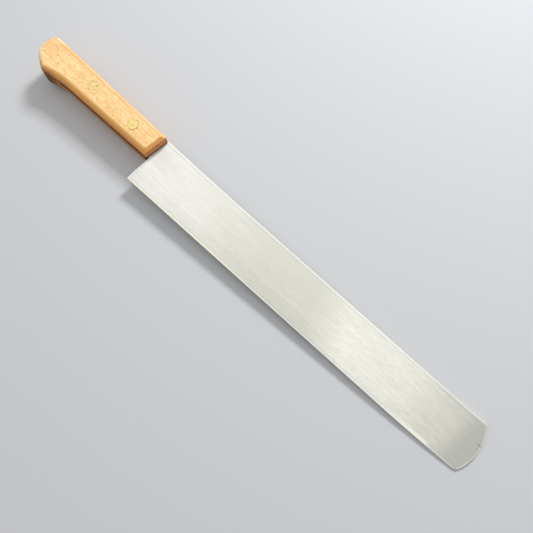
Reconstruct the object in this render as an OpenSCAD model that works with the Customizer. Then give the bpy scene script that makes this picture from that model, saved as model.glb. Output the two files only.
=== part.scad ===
// Long flat slicing knife lying on its side, as it rests on a table.
// The blade and its tang are one piece of sheet steel. The tang sits in a saw cut
// in a one-piece wooden handle and two brass rivets hold it there.
//
// The knife is drawn flat first: X runs from the butt to the tip with the heel at 0,
// Y points from the cutting edge to the spine, and Z is across the thickness with 0 in
// the middle of the blade. The module laid then tips it on to the table.

/* [Blade] */
// Length of the blade from the heel to the farthest point of the tip
blade_len = 270; // [180:5:330]
// Thickness of the blade at the spine
blade_t = 1.8; // [1.2:0.1:3]
// Height of the blade at the heel, from the straight of the spine to the cutting edge
heel_h = 36.1; // [30:0.5:50]
// How much lower the blade gets by the start of the sweep near the tip
edge_taper = 2.4; // [0:0.1:5]
// Length of the last stretch of the cutting edge, which sweeps up to the tip
sweep_len = 60; // [20:1:80]
// How far the sweep lifts the cutting edge above a straight edge
sweep_rise = 1.5; // [0:0.05:3]
// Rise of the spine above its straight line at the heel
spine_swell = 1.1; // [0:0.1:2]
// Length of the stretch over which the spine rises
spine_swell_len = 80; // [30:5:120]
// Radius of the blunt round tip
tip_r = 31; // [28:1:60]
// Distance from the spine down to the farthest point of the tip
tip_drop = 17.2; // [12:0.5:22]
// Radius of the corner between the tip and the cutting edge
tip_corner_r = 3.5; // [1:0.5:8]

/* [Cutting edge] */
// Width of the ground band along the cutting edge
grind_w = 9; // [4:0.5:14]
// Width of the narrow honed bevel
hone_w = 0.8; // [0.4:0.1:1.5]
// Thickness of the steel where the honed bevel starts
hone_t = 0.5; // [0.3:0.05:0.8]
// Thickness left at the very edge
edge_t = 0.12; // [0.06:0.02:0.2]
// Size of the eased corners along the spine and the heel
ease = 0.25; // [0.1:0.05:0.5]

/* [Tang] */
// Length of the tang behind the heel
tang_len = 83; // [75:1:84]
// Height of the tang
tang_h = 14; // [13:0.5:15]
// Distance from the spine line down to the top of the tang
tang_drop = 2; // [1.5:0.1:2.3]
// Radius of the two corners at the tang's end
tang_corner_r = 2; // [0.5:0.5:4]
// Radius left in the corner where the tang leaves the heel
tang_root_r = 1; // [0.3:0.1:1.2]

/* [Handle] */
// Thickness of the handle from cheek to cheek
handle_t = 19; // [15:0.5:24]
// Distance from the heel back to the lower corner of the butt, before it is rounded
handle_back = 114.4; // [110:0.2:130]
// How far the front of the handle reaches over the blade on the spine side
front_lap = 1.2; // [0.4:0.1:3]
// Angle of the front away from square, leaning back towards the belly
front_lean = 4.9; // [0:0.5:8]
// Distance from the spine line up to the handle's top at the front
top_rise = 0.1; // [0:0.1:1]
// Angle at which the top climbs towards the butt
top_slope = 1.47; // [0:0.1:3]
// Distance from the spine line down to the belly at the front
belly_drop = 17.9; // [17:0.1:20]
// Angle at which the belly falls away towards the hook
belly_slope = 0.35; // [0:0.05:1]
// Distance from the heel back to the start of the hollow before the hook
hollow_back = 85; // [80:1:88]
// Distance from the heel back to the point of the hook
hook_back = 100.4; // [97:0.2:102]
// Distance from the spine line down to the point of the hook
hook_drop = 22.2; // [20.5:0.1:23.5]
// Distance from the spine line down to the lower corner of the butt
butt_drop = 14.2; // [12:0.2:15]
// How far the butt's upper corner lies in front of its lower corner
butt_lean = 1.3; // [0:0.1:4]

/* [Handle edges] */
// Width of the bevel between the cheeks and the top or belly
bevel = 2.8; // [1.5:0.1:4]
// Width of the small bevel round the front end
front_bevel = 1.2; // [0.3:0.1:1.4]
// Radius of the round edge at the butt
butt_round = 2; // [1:0.1:2.8]
// Radius of the round edge under the butt, as far as the hook
under_round = 4.5; // [1.5:0.1:5]
// Radius of the butt's upper corner
butt_top_r = 3; // [3:0.5:8]
// Radius of the butt's lower corner
butt_low_r = 10; // [7:0.5:12]
// Radius of the point of the hook
hook_r = 4.5; // [4:0.5:7]
// Radius of the hollow in front of the hook
hollow_r = 65; // [40:5:70]

/* [Saw cut] */
// Clearance between the blade and each wall of the saw cut
cut_clear = 0.1; // [0.02:0.02:0.2]
// Distance left empty between the tang's end and the end of the saw cut
cut_spare = 3; // [1:0.5:4]
// Width of the small bevels at the mouth of the saw cut
mouth_bevel = 0.6; // [0.2:0.1:1]

/* [Rivets] */
// Distance from the heel back to the front rivet
front_rivet_back = 20.7; // [15:0.5:26]
// Distance from the spine line down to the front rivet
front_rivet_drop = 8.8; // [8:0.1:11]
// Distance from the heel back to the rear rivet
rear_rivet_back = 62.1; // [55:0.5:68]
// Distance from the spine line down to the rear rivet
rear_rivet_drop = 6.9; // [6:0.1:10]
// Diameter of the rivet heads
rivet_head_d = 7.2; // [6:0.2:8]
// Thickness of the rivet heads
rivet_head_t = 1.6; // [1:0.1:2.5]
// Outer diameter of the rivet tube
rivet_tube_d = 4.8; // [4.2:0.1:5.4]
// Diameter of the solid rivet pin
rivet_pin_d = 3.2; // [2:0.1:3.6]
// Distance between the tube's end and the pin's head, and between the pin's end and its hole's
rivet_spare = 1.2; // [0.5:0.1:2]
// Clearance round the rivet tube in the wood and the tang
rivet_clear = 0.05; // [0.02:0.01:0.15]
// Clearance round the rivet heads in the wood
head_clear = 0.1; // [0.02:0.02:0.2]
// Clearance between the pin and the tube
pin_clear = 0.02; // [0.01:0.01:0.05]

/* [Hidden] */
$fn = 64;

// Colours as the photograph shows them
steel = [0.80, 0.80, 0.78];
beech = [0.90, 0.70, 0.45];
brass = [0.86, 0.76, 0.42];

// Length by which a cutter runs past the surface it cuts
past = 1;
half_blade = blade_t / 2;
half_handle = handle_t / 2;

// Number of straight steps in the spine's rise, the edge's sweep and each kind of arc
swell_steps = 4;
sweep_steps = 4;
tip_steps = 20;
corner_steps = 6;

// Points on an arc round centre c from angle a0 to a1
function arc(c, r, a0, a1, n) =
    [for (i = [0 : n]) c + r * [cos(a0 + (a1 - a0) * i / n), sin(a0 + (a1 - a0) * i / n)]];

// Cutting edge: a straight line to the sweep, then short lines that turn up evenly
sweep_x = blade_len - sweep_len;
taper_slope = edge_taper / sweep_x;
sweep_step = sweep_len / sweep_steps;
sweep_turn = 2 * sweep_rise / sweep_len;
// Slope of the edge at point i of the sweep, where a half point is the middle of a short line
function sweep_slope(i) = taper_slope + sweep_turn * i / sweep_steps;
function edge_y(i) = i == 0 ? -heel_h + edge_taper
    : edge_y(i - 1) + sweep_step * sweep_slope(i - 0.5);
edge_points = concat(
    [[0, -heel_h]],
    [for (i = [0 : sweep_steps]) [sweep_x + i * sweep_step, edge_y(i)]]
);

// Round tip, and the small corner that joins it to the last line of the edge
tip_c = [blade_len - tip_r, -tip_drop];
tip_spine_angle = asin(tip_drop / tip_r);
last_angle = atan(sweep_slope(sweep_steps - 0.5));
last_along = [cos(last_angle), sin(last_angle)];
last_inward = [-sin(last_angle), cos(last_angle)];
corner_base = edge_points[sweep_steps] + tip_corner_r * last_inward - tip_c;
corner_half = corner_base * last_along;
corner_rest = corner_base * corner_base - pow(tip_r - tip_corner_r, 2);
corner_s = -corner_half + sqrt(corner_half * corner_half - corner_rest);
corner_c = tip_c + corner_base + corner_s * last_along;
corner_dir = corner_c - tip_c;
corner_angle = atan2(corner_dir[1], corner_dir[0]);

// Spine: short lines that come down evenly from the heel, then one straight line
function swell_y(x) = spine_swell * pow(1 - x / spine_swell_len, 2);
function swell_slope(x) = -2 * spine_swell / spine_swell_len * (1 - x / spine_swell_len);
spine_points = [for (i = [0 : swell_steps])
    let (x = spine_swell_len * i / swell_steps) [x, swell_y(x)]];

// Outline of the blade and tang together
tang_low = -tang_drop - tang_h;
tang_points = concat(
    [[0, tang_low - tang_root_r]],
    arc([-tang_root_r, tang_low - tang_root_r], tang_root_r, 0, 90, corner_steps),
    arc([-tang_len + tang_corner_r, tang_low + tang_corner_r], tang_corner_r, 270, 180, corner_steps),
    arc([-tang_len + tang_corner_r, -tang_drop - tang_corner_r], tang_corner_r, 180, 90, corner_steps),
    [[0, -tang_drop]]
);
blade_outline = concat(
    spine_points,
    arc(tip_c, tip_r, tip_spine_angle, corner_angle, tip_steps),
    arc(corner_c, tip_corner_r, corner_angle, last_angle - 90, corner_steps),
    [for (i = [sweep_steps : -1 : 0]) edge_points[i]],
    tang_points
);

// Corners of the handle seen from the cheek, before any is rounded
top_back = handle_back - butt_lean;
front_low_x = front_lap - (top_rise + belly_drop) * tan(front_lean);
handle_corners = [
    [front_lap, top_rise],
    [-top_back, top_rise + (top_back + front_lap) * tan(top_slope)],
    [-handle_back, -butt_drop],
    [-hook_back, -hook_drop],
    [-hollow_back, -belly_drop - hollow_back * tan(belly_slope)],
    [front_low_x, -belly_drop]
];
// Radius at each of those corners. The two at the front are sharp, and only the hollow
// curves inward
handle_radii = [0, butt_top_r, butt_low_r, hook_r, hollow_r, 0];
hollow_corner = 4;

// Levels in rising order, without those that lie too near to an earlier one of the list
least_step = 0.1;
function rising(v) = len(v) == 0 ? [] : concat(
    rising([for (x = v) if (x < v[0] - least_step) x]),
    [v[0]],
    rising([for (x = v) if (x > v[0] + least_step) x])
);

// Shares of the under-edge's radius, down from the cheek, at which its round gets a level
round_shares = [0.08, 0.25, 0.55];
// Levels of the handle's skin between the middle and a cheek
inner_levels = rising(concat(
    [half_handle - front_bevel, half_handle - bevel, half_handle - butt_round, half_handle - under_round],
    [for (share = round_shares) half_handle - share * under_round]
));
last_level = inner_levels[len(inner_levels) - 1];

// How far each side of the handle's outline is drawn in at a height z above the middle.
// Past the cheek the last stretch of a round edge runs straight on
function bevel_in(z, w) = max(0, z - (half_handle - w));
function circle_in(z, r) = z <= half_handle - r ? 0 : r - sqrt(r * r - pow(z - half_handle + r, 2));
function round_in(z, r) = z <= half_handle ? circle_in(z, r)
    : r + (z - half_handle) * (r - circle_in(last_level, r)) / (half_handle - last_level);
function side_insets(z) = [
    bevel_in(z, bevel),
    round_in(z, butt_round),
    round_in(z, under_round),
    bevel_in(z, bevel),
    bevel_in(z, bevel),
    bevel_in(z, front_bevel)
];

// Outline drawn in: each side moves along its inward normal and meets its neighbours again
function unit(v) = v / norm(v);
function left_of(v) = [-v[1], v[0]];
function meet(p, u, q, v) = p + u * ((q - p) * left_of(v)) / (u * left_of(v));
function drawn_in(pts, insets) = let (n = len(pts)) [for (i = [0 : n - 1])
    let (
        before = unit(pts[i] - pts[(i + n - 1) % n]),
        after = unit(pts[(i + 1) % n] - pts[i])
    )
    meet(
        pts[i] + insets[(i + n - 1) % n] * left_of(before), before,
        pts[i] + insets[i] * left_of(after), after
    )];

// Rounded outline: an arc that touches both sides at each corner, or the corner itself
function turn_at(a, b, c) = let (u = unit(b - a), v = unit(c - b))
    atan2(u[0] * v[1] - u[1] * v[0], u * v);
function corner_arc(a, b, c, r) =
    let (
        turn = turn_at(a, b, c),
        u = unit(b - a),
        side = sign(turn),
        start = b - u * r * tan(abs(turn) / 2),
        centre = start + side * r * left_of(u),
        a0 = atan2(u[1], u[0]) - side * 90
    )
    arc(centre, r, a0, a0 + turn, corner_steps);
function rounded(pts, radii) = let (n = len(pts)) [for (i = [0 : n - 1])
    each radii[i] == 0 ? [pts[i]]
        : corner_arc(pts[(i + n - 1) % n], pts[i], pts[(i + 1) % n], radii[i])];
// Least radius that a drawn-in round corner keeps
least_r = 0.4;
// Drawing the sides in makes the hollow's radius larger and those of the other rounds smaller
function drawn_radius(i, insets) = let (n = len(insets), r = handle_radii[i])
    r == 0 ? 0
    : i == hollow_corner ? r + insets[i]
    : max(least_r, r - min(insets[i], insets[(i + n - 1) % n]));

// Handle skin: one rounded outline at each level, from just below the lower cheek to just
// above the upper one, because both cheeks are cut flat afterwards
skin_past = 0.2;
upper_levels = concat(inner_levels, [half_handle + skin_past]);
levels = concat(
    [for (i = [len(upper_levels) - 1 : -1 : 0]) -upper_levels[i]],
    upper_levels
);
function ring(z) = let (
        insets = side_insets(abs(z)),
        flat = rounded(
            drawn_in(handle_corners, insets),
            [for (i = [0 : len(handle_corners) - 1]) drawn_radius(i, insets)]
        )
    )
    [for (p = flat) [p[0], p[1], z]];
ring_len = len(ring(0));
skin_points = [for (z = levels) each ring(z)];
last_ring = (len(levels) - 1) * ring_len;
skin_faces = concat(
    [[for (i = [0 : ring_len - 1]) i]],
    [for (k = [0 : len(levels) - 2], i = [0 : ring_len - 1])
        let (a = k * ring_len + i, b = k * ring_len + (i + 1) % ring_len)
        each [[a, a + ring_len, b], [b, a + ring_len, b + ring_len]]],
    [[for (i = [ring_len - 1 : -1 : 0]) last_ring + i]]
);

// Saw cut
cut_t = blade_t + 2 * cut_clear;
cut_end = -tang_len - cut_spare;
// Length of its cutters along Y, well over the height of the handle
cut_reach = 4 * hook_drop;

// Rivets: the tube holds the upper head, the pin comes up from the lower one
front_rivet_at = [-front_rivet_back, -front_rivet_drop];
rear_rivet_at = [-rear_rivet_back, -rear_rivet_drop];
tube_end = -half_handle + rivet_head_t + rivet_spare;
hole_end = half_handle - rivet_head_t;
pin_end = hole_end - rivet_spare;

// The knife rests on the lower front edge of the handle and on the tip
rest_x = max([for (p = ring(half_handle)) p[0]]);
rest_tilt = atan((half_handle - half_blade) / (blade_len - rest_x));
rest_up = rest_x * sin(rest_tilt) + half_handle * cos(rest_tilt);

// Middle of the whole knife once it is tipped
tip_end = blade_len * cos(rest_tilt) + half_blade * sin(rest_tilt);
butt_end = min([for (p = skin_points) p[0] * cos(rest_tilt) + p[2] * sin(rest_tilt)]);
middle_x = (tip_end + butt_end) / 2;
middle_y = (max([for (p = skin_points) p[1]]) - heel_h) / 2;

// Tips the flat-drawn knife on to the table, with the origin under the middle of it
module laid() {
    translate([-middle_x, -middle_y, rest_up]) rotate([0, rest_tilt, 0]) children();
}

// Cutter that leaves the ground band and the honed bevel along one line of the edge
module edge_grind(p, slope) {
    // Half the cutter's length, so that it always runs past both ends of the blade
    reach = 2 * blade_len;
    hone_rise = (hone_t - edge_t) / 2 / hone_w;
    grind_rise = (half_blade - hone_t / 2) / (grind_w - hone_w);
    translate([p[0], p[1], 0])
        rotate([0, 0, atan(slope)])
            for (side = [0, 1])
                mirror([0, 0, side])
                    rotate([90, 0, 90])
                        translate([0, 0, -reach])
                            linear_extrude(2 * reach)
                                polygon([
                                    [-past, edge_t / 2 - past * hone_rise],
                                    [hone_w, hone_t / 2],
                                    [grind_w + past / grind_rise, half_blade + past],
                                    [-past, half_blade + past]
                                ]);
}

// Cutter that eases both long corners of the spine. On each side it is what lies above
// all the slanted planes through the spine's tangents at its points
module eased_spine() {
    // How far the cutter reaches past the blade across it, and half its length along it
    reach = heel_h;
    long_reach = 2 * blade_len;
    for (side = [0, 1])
        mirror([0, 0, side])
            intersection_for(p = spine_points)
                translate([p[0], p[1], 0])
                    rotate([0, 0, atan(swell_slope(p[0]))])
                        rotate([90, 0, 90])
                            translate([0, 0, -long_reach])
                                linear_extrude(2 * long_reach)
                                    polygon([
                                        [-ease - reach, half_blade + reach],
                                        [reach, half_blade - ease - reach],
                                        [reach, half_blade + reach]
                                    ]);
}

// Cutter that eases both corners of the heel below the tang
module eased_heel() {
    for (side = [0, 1])
        mirror([0, 0, side])
            translate([0, tang_low - tang_root_r - ease, 0])
                rotate([90, 0, 0])
                    linear_extrude(heel_h)
                        polygon([
                            [-past, half_blade - ease - past],
                            [ease + past, half_blade + past],
                            [-past, half_blade + past]
                        ]);
}

module blade() {
    color(steel)
        laid()
            difference() {
                translate([0, 0, -half_blade])
                    linear_extrude(blade_t)
                        difference() {
                            polygon(blade_outline);
                            rivet_holes(rivet_tube_d / 2 + rivet_clear);
                        }
                for (i = [0 : sweep_steps])
                    edge_grind(edge_points[i + 1], sweep_slope(i));
                eased_spine();
                eased_heel();
            }
}

// Circles at the two rivets, for the tang
module rivet_holes(r) {
    translate(front_rivet_at) circle(r);
    translate(rear_rivet_at) circle(r);
}

// Hole for a rivet right through the wood, with a seat for the head in each cheek
module rivet_seat(at) {
    seat_r = rivet_head_d / 2 + head_clear;
    translate([at[0], at[1], -half_handle - past])
        cylinder(h = handle_t + 2 * past, r = rivet_tube_d / 2 + rivet_clear);
    translate([at[0], at[1], half_handle - rivet_head_t])
        cylinder(h = rivet_head_t + past, r = seat_r);
    translate([at[0], at[1], -half_handle - past])
        cylinder(h = rivet_head_t + past, r = seat_r);
}

// Cutter for the small bevels on both sides of the saw cut where it opens at the front
module mouth_cutter() {
    translate([front_lap, top_rise, 0])
        rotate([90, 0, -front_lean])
            translate([0, 0, -cut_reach / 2])
                linear_extrude(cut_reach)
                    polygon([
                        [-mouth_bevel, cut_t / 2],
                        [past, cut_t / 2 + mouth_bevel + past],
                        [past, -cut_t / 2 - mouth_bevel - past],
                        [-mouth_bevel, -cut_t / 2]
                    ]);
}

module handle() {
    // Half the width of the two cutters that leave the cheeks flat, well over the handle's
    reach = 2 * handle_back;
    color(beech)
        laid()
            difference() {
                polyhedron(skin_points, skin_faces);
                for (side = [0, 1])
                    mirror([0, 0, side])
                        translate([-reach, -reach, half_handle])
                            cube([2 * reach, 2 * reach, past]);
                translate([cut_end, -cut_reach / 2, -cut_t / 2])
                    cube([front_lap + past - cut_end, cut_reach, cut_t]);
                mouth_cutter();
                rivet_seat(front_rivet_at);
                rivet_seat(rear_rivet_at);
            }
}

// Upper half of a rivet: a flat head with a tube below it, open at its lower end
module rivet_tube(at) {
    color(brass)
        laid()
            translate([at[0], at[1], 0])
                difference() {
                    union() {
                        translate([0, 0, half_handle - rivet_head_t])
                            cylinder(h = rivet_head_t, r = rivet_head_d / 2);
                        translate([0, 0, tube_end])
                            cylinder(h = half_handle - rivet_head_t - tube_end, r = rivet_tube_d / 2);
                    }
                    translate([0, 0, tube_end - past])
                        cylinder(h = hole_end - tube_end + past, r = rivet_pin_d / 2 + pin_clear);
                }
}

// Lower half of a rivet: a flat head with a solid pin that goes up into the tube
module rivet_pin(at) {
    color(brass)
        laid()
            translate([at[0], at[1], 0]) {
                translate([0, 0, -half_handle])
                    cylinder(h = rivet_head_t, r = rivet_head_d / 2);
                translate([0, 0, -half_handle])
                    cylinder(h = pin_end + half_handle, r = rivet_pin_d / 2);
            }
}

module front_rivet_tube() {
    rivet_tube(front_rivet_at);
}

module front_rivet_pin() {
    rivet_pin(front_rivet_at);
}

module rear_rivet_tube() {
    rivet_tube(rear_rivet_at);
}

module rear_rivet_pin() {
    rivet_pin(rear_rivet_at);
}

blade();
handle();
front_rivet_tube();
front_rivet_pin();
rear_rivet_tube();
rear_rivet_pin();
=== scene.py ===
import math

import bmesh
import bpy
import numpy as np
from mathutils import Matrix, Vector


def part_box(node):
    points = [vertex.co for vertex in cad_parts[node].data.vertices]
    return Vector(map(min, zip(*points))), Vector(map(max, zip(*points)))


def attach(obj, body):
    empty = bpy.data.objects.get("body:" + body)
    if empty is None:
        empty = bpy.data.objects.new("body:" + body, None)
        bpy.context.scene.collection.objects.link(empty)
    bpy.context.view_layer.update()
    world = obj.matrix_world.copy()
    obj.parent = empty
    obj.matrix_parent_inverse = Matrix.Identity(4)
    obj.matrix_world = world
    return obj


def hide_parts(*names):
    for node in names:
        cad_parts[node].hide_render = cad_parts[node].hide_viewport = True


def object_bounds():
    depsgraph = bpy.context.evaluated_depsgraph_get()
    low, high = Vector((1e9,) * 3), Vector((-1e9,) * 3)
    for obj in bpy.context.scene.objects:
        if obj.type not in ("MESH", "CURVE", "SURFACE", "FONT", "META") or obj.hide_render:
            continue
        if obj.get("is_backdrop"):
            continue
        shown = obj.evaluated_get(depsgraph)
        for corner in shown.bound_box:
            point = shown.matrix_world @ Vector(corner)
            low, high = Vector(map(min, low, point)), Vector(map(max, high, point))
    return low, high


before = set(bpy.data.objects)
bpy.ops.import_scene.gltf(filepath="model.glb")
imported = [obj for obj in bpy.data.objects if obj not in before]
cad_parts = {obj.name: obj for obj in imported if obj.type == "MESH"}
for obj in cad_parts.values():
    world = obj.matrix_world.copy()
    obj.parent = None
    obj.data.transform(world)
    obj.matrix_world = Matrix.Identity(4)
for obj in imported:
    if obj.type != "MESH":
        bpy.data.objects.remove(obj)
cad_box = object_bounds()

MM = 0.001

# Blade, drawn flat: the heel is at x 0, the straight of the spine at y 0, its middle at z 0
BLADE_LEN = 270 * MM
BLADE_T = 1.8 * MM
HEEL_H = 36.1 * MM
EDGE_TAPER = 2.4 * MM
SWEEP_LEN = 60 * MM
SWEEP_RISE = 1.5 * MM
SWELL = 1.1 * MM
SWELL_LEN = 80 * MM
TIP_R = 31 * MM
TIP_DROP = 17.2 * MM
TIP_CORNER_R = 3.5 * MM
GRIND_W = 9 * MM
HONE_W = 0.8 * MM
HONE_T = 0.5 * MM
EDGE_T = 0.12 * MM
SPINE_ROUND = 0.3 * MM
TIP_ROUND = 0.16 * MM

# Tang
TANG_LEN = 83 * MM
TANG_H = 14 * MM
TANG_DROP = 2 * MM
TANG_CORNER_R = 2 * MM
TANG_ROOT_R = 1 * MM

# Handle
HANDLE_T = 19 * MM
HANDLE_BACK = 114.4 * MM
FRONT_LAP = 1.2 * MM
FRONT_LEAN = math.radians(4.9)
TOP_RISE = 0.1 * MM
TOP_SLOPE = math.radians(1.47)
BELLY_DROP = 17.9 * MM
BELLY_SLOPE = math.radians(0.35)
HOLLOW_BACK = 85 * MM
HOOK_BACK = 100.4 * MM
HOOK_DROP = 22.2 * MM
BUTT_DROP = 14.2 * MM
BUTT_LEAN = 1.3 * MM
BEVEL = 2.8 * MM
BEVEL_ANGLE = math.pi / 4
FRONT_BEVEL = 1.2 * MM
# The photograph shows the upper one wider than the part has it
UPPER_FRONT_BEVEL = 2.0 * MM
BUTT_ROUND = 2 * MM
UNDER_ROUND = 4.5 * MM
# Radii of its corners, from the front of the spine side round the butt to the front of the belly
CORNER_R = [radius * MM for radius in (0.3, 3, 10, 4.5, 65, 0.3)]
# The corner of the hollow turns the other way
HOLLOW_CORNER = 4
LEAST_R = 0.2 * MM
# Radii of the worn arrises of the bevels on the spine side, the belly side and the front
SPINE_ARRIS_R = 1.0 * MM
BELLY_ARRIS_R = 3.0 * MM
FRONT_ARRIS_R = 0.8 * MM

# Saw cut
CUT_T = 2.0 * MM
CUT_END = -86 * MM
MOUTH_BEVEL = 0.6 * MM

# Rivets
RIVETS = {
    "front": (-20.7 * MM, -8.8 * MM),
    "rear": (-62.1 * MM, -6.9 * MM),
}
HEAD_R = 3.6 * MM
HEAD_T = 1.6 * MM
HEAD_EDGE = 0.12 * MM
TUBE_R = 2.4 * MM
PIN_R = 1.6 * MM
RIVET_SPARE = 1.2 * MM
RIVET_CLEAR = 0.05 * MM
HEAD_CLEAR = 0.1 * MM
PIN_CLEAR = 0.02 * MM
# The wood has shrunk away from the front rivet a little, on the side of the tip
FRONT_SEAT_SHIFT = (0.16 * MM, -0.02 * MM)
FRONT_SEAT_WIDER = 0.09 * MM
# Dent in the rear rivet's upper head: its place from the rivet's middle, its width and depth
DENT_AT = (1.65 * MM, 1.5 * MM)
DENT_W = 0.34 * MM
DENT_DEEP = 0.2 * MM

HALF_BLADE = BLADE_T / 2
HALF_HANDLE = HANDLE_T / 2
HALF_EDGE = EDGE_T / 2
HALF_HONE = HONE_T / 2
SWEEP_X = BLADE_LEN - SWEEP_LEN
TAPER_SLOPE = EDGE_TAPER / SWEEP_X

# Camera, in the flat knife's own axes: its place, its heading and how steeply it looks down
CAMERA_AT = Vector((174.34, -87.2, 318.0)) * MM
CAMERA_TURN = math.radians(43.3086)
CAMERA_DOWN = math.radians(73.2278)
CAMERA_LENS = 36
CAMERA_SENSOR = 36
CAMERA_CLIP = (0.01, 50)
# Side of the square photograph in pixels, and a shift of half a pixel
PHOTO_SIDE = 533
CAMERA_SHIFT = 0.5 / PHOTO_SIDE

# Light: strength of the sky at the horizon, what it gains overhead and how fast, what it gains
# behind the handle, its colour, and the soft lamp
SKY_LEVEL = 0.32
SKY_OVERHEAD = 0.80
SKY_RISE = 3.0
SKY_BEHIND = 0.16
SKY_COLOUR = (1, 0.995, 0.985, 1)
KEY_AT = (-0.16, 0.85, 0.70)
KEY_SIZE = 0.24
KEY_POWER = 9.0

# Floor
FLOOR_HALF = 3.0
FLOOR_ROUGH = 0.8

# How finely the outlines are divided. The tip is first drawn finer and then spread evenly.
TIP_STEPS = 96
TIP_FINER = 4
EDGE_STEPS = 60
SWELL_POINTS = 20
STRAIGHT_POINTS = 8
TANG_STEPS = 8
ROOT_STEPS = 5
CORNER_STEPS = (8, 14, 22, 18, 18, 8)
# Numbers of heights at which they are drawn, and the least distance between two of the handle's
HONE_LEVELS = 3
GRIND_LEVELS = 12
ROUND_LEVELS = 8
UNDER_LEVELS = 16
ARRIS_LEVELS = 6
LEAST_LEVEL = 0.012 * MM
# Sides of the bores and of the rivets' heads, the distance between the rings of a head, and the
# points round its edge
BORE_SIDES = 64
HEAD_SIDES = 96
HEAD_RING = 0.12 * MM
HEAD_EDGE_POINTS = 5
# Points closer than the first are joined, and edges shorter than the second are closed
WELD = 0.0004 * MM
SLIVER = 0.0002 * MM
# Angles, in degrees, above which an arris stays sharp
BLADE_SHARP = 24
HANDLE_SHARP = 26
RIVET_SHARP = 30
# How strongly large faces lead the shading
FACE_AREA_WEIGHT = 100
# How far cutters reach past the wood, and from where to where across it the saw cut's reaches
CUT_PAST = 3 * MM
CUT_LOW = -HOOK_DROP - 10 * MM
CUT_HIGH = 14 * MM
MOUTH_PAST = 1 * MM
# Halvings in the search for the tip's corner
HALVINGS = 60


def srgb(red, green, blue):
    """Linear colour of an 8-bit screen colour, by the sRGB curve."""
    linear = []
    for value in (red, green, blue):
        share = value / 255
        linear.append(share / 12.92 if share <= 0.04045 else ((share + 0.055) / 1.055) ** 2.4)
    return (*linear, 1)


# Outlines, as arrays of flat points

def arc(centre, radius, start, end, steps):
    """Points on an arc, angles in radians."""
    angles = np.linspace(start, end, steps + 1)
    return np.stack([centre[0] + radius * np.cos(angles), centre[1] + radius * np.sin(angles)], 1)


def circle(centre, radius, sides):
    """Corners of a regular outline round a centre."""
    return arc(centre, radius, 0, 2 * math.pi, sides)[:-1]


def line_inset(z, rise, low, run):
    """How far a slope that starts at height low has come in at height z."""
    return max(0, (z - low) / rise * run)


def round_inset(z, half, radius):
    """How far a quarter round that ends at height half has come in at height z."""
    over = z - (half - radius)
    return 0 if over <= 0 else radius - math.sqrt(max(0, radius ** 2 - over ** 2))


def arris_reach(arris):
    """How far a rounded arris of the bevel reaches from the sharp one on either side."""
    return arris * math.tan(BEVEL_ANGLE / 2)


def bevel_inset(z, width, arris):
    """How far a 45 degree bevel with two rounded arrises has come in at height z."""
    reach = arris_reach(arris)
    start = HALF_HANDLE - width - reach
    if z <= start:
        return 0
    if z <= start + arris * math.sin(BEVEL_ANGLE):
        return arris - math.sqrt(arris ** 2 - (z - start) ** 2)
    below = HALF_HANDLE - z
    if below < arris * (1 - math.cos(BEVEL_ANGLE)):
        turn = math.acos(max(-1, min(1, 1 - below / arris)))
        return width + reach - arris * math.sin(turn)
    return z - (HALF_HANDLE - width)


def spine_y(x):
    """Height of the spine, which rises a little towards the heel."""
    return SWELL * np.clip(1 - x / SWELL_LEN, 0, None) ** 2


def edge_y(x):
    """Height of the cutting edge, which sweeps up before the tip."""
    swept = np.clip(x - SWEEP_X, 0, None)
    return -HEEL_H + TAPER_SLOPE * x + SWEEP_RISE * (swept / SWEEP_LEN) ** 2


def edge_slope(x):
    """Slope of the cutting edge."""
    return TAPER_SLOPE + 2 * SWEEP_RISE * max(0, x - SWEEP_X) / SWEEP_LEN ** 2


def tip_corner():
    """Middle of the corner's circle, which touches the tip's circle and the cutting edge."""
    tip = np.array([BLADE_LEN - TIP_R, -TIP_DROP])
    low, high = SWEEP_X, BLADE_LEN
    for _ in range(HALVINGS):
        x = (low + high) / 2
        slope = edge_slope(x)
        normal = np.array([-slope, 1]) / math.hypot(slope, 1)
        middle = np.array([x, edge_y(x)]) + TIP_CORNER_R * normal
        if np.linalg.norm(middle - tip) > TIP_R - TIP_CORNER_R and x > tip[0]:
            high = x
        else:
            low = x
    return tip, middle, math.atan2(-normal[1], -normal[0])


TIP_C, CORNER_C, CORNER_END = tip_corner()
CORNER_START = math.atan2(*(CORNER_C - TIP_C)[::-1])


def tip_curve(top, inset, steps):
    """The tip and its corner from the height top down to the cutting edge, drawn in."""
    radius = TIP_R - inset
    start = math.asin((top - TIP_C[1]) / radius)
    corner_steps = steps // 3
    tip = arc(TIP_C, radius, start, CORNER_START, steps - corner_steps)
    corner = arc(CORNER_C, TIP_CORNER_R - inset, CORNER_START, CORNER_END, corner_steps)
    return np.concatenate([tip, corner[1:]])


def spread(points, steps):
    """Evenly spaced points along a line of points."""
    gone = np.concatenate([[0], np.cumsum(np.linalg.norm(np.diff(points, axis=0), axis=1))])
    wanted = np.linspace(0, gone[-1], steps + 1)
    return np.stack([np.interp(wanted, gone, points[:, i]) for i in (0, 1)], 1)


def edge_inset(z):
    """How far the ground edge has come in at height z, over the honed bevel and the grind."""
    honed = min(HONE_W, line_inset(z, HALF_HONE - HALF_EDGE, HALF_EDGE, HONE_W))
    return honed + line_inset(z, HALF_BLADE - HALF_HONE, HALF_HONE, GRIND_W - HONE_W)


def tip_points(spine_in, tip_in, edge_in):
    """The tip from the spine to the cutting edge. Points past the edge are moved to where it is
    crossed, so that every outline has the same number of points."""
    fine = tip_curve(-spine_in, tip_in, TIP_STEPS * TIP_FINER)
    points = spread(fine, TIP_STEPS)
    above = points[:, 1] - edge_y(points[:, 0]) - edge_in
    for i in range(1, len(points)):
        if above[i] < 0:
            share = above[i - 1] / (above[i - 1] - above[i])
            points[i:] = points[i - 1] + share * (points[i] - points[i - 1])
            break
    return points


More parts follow.
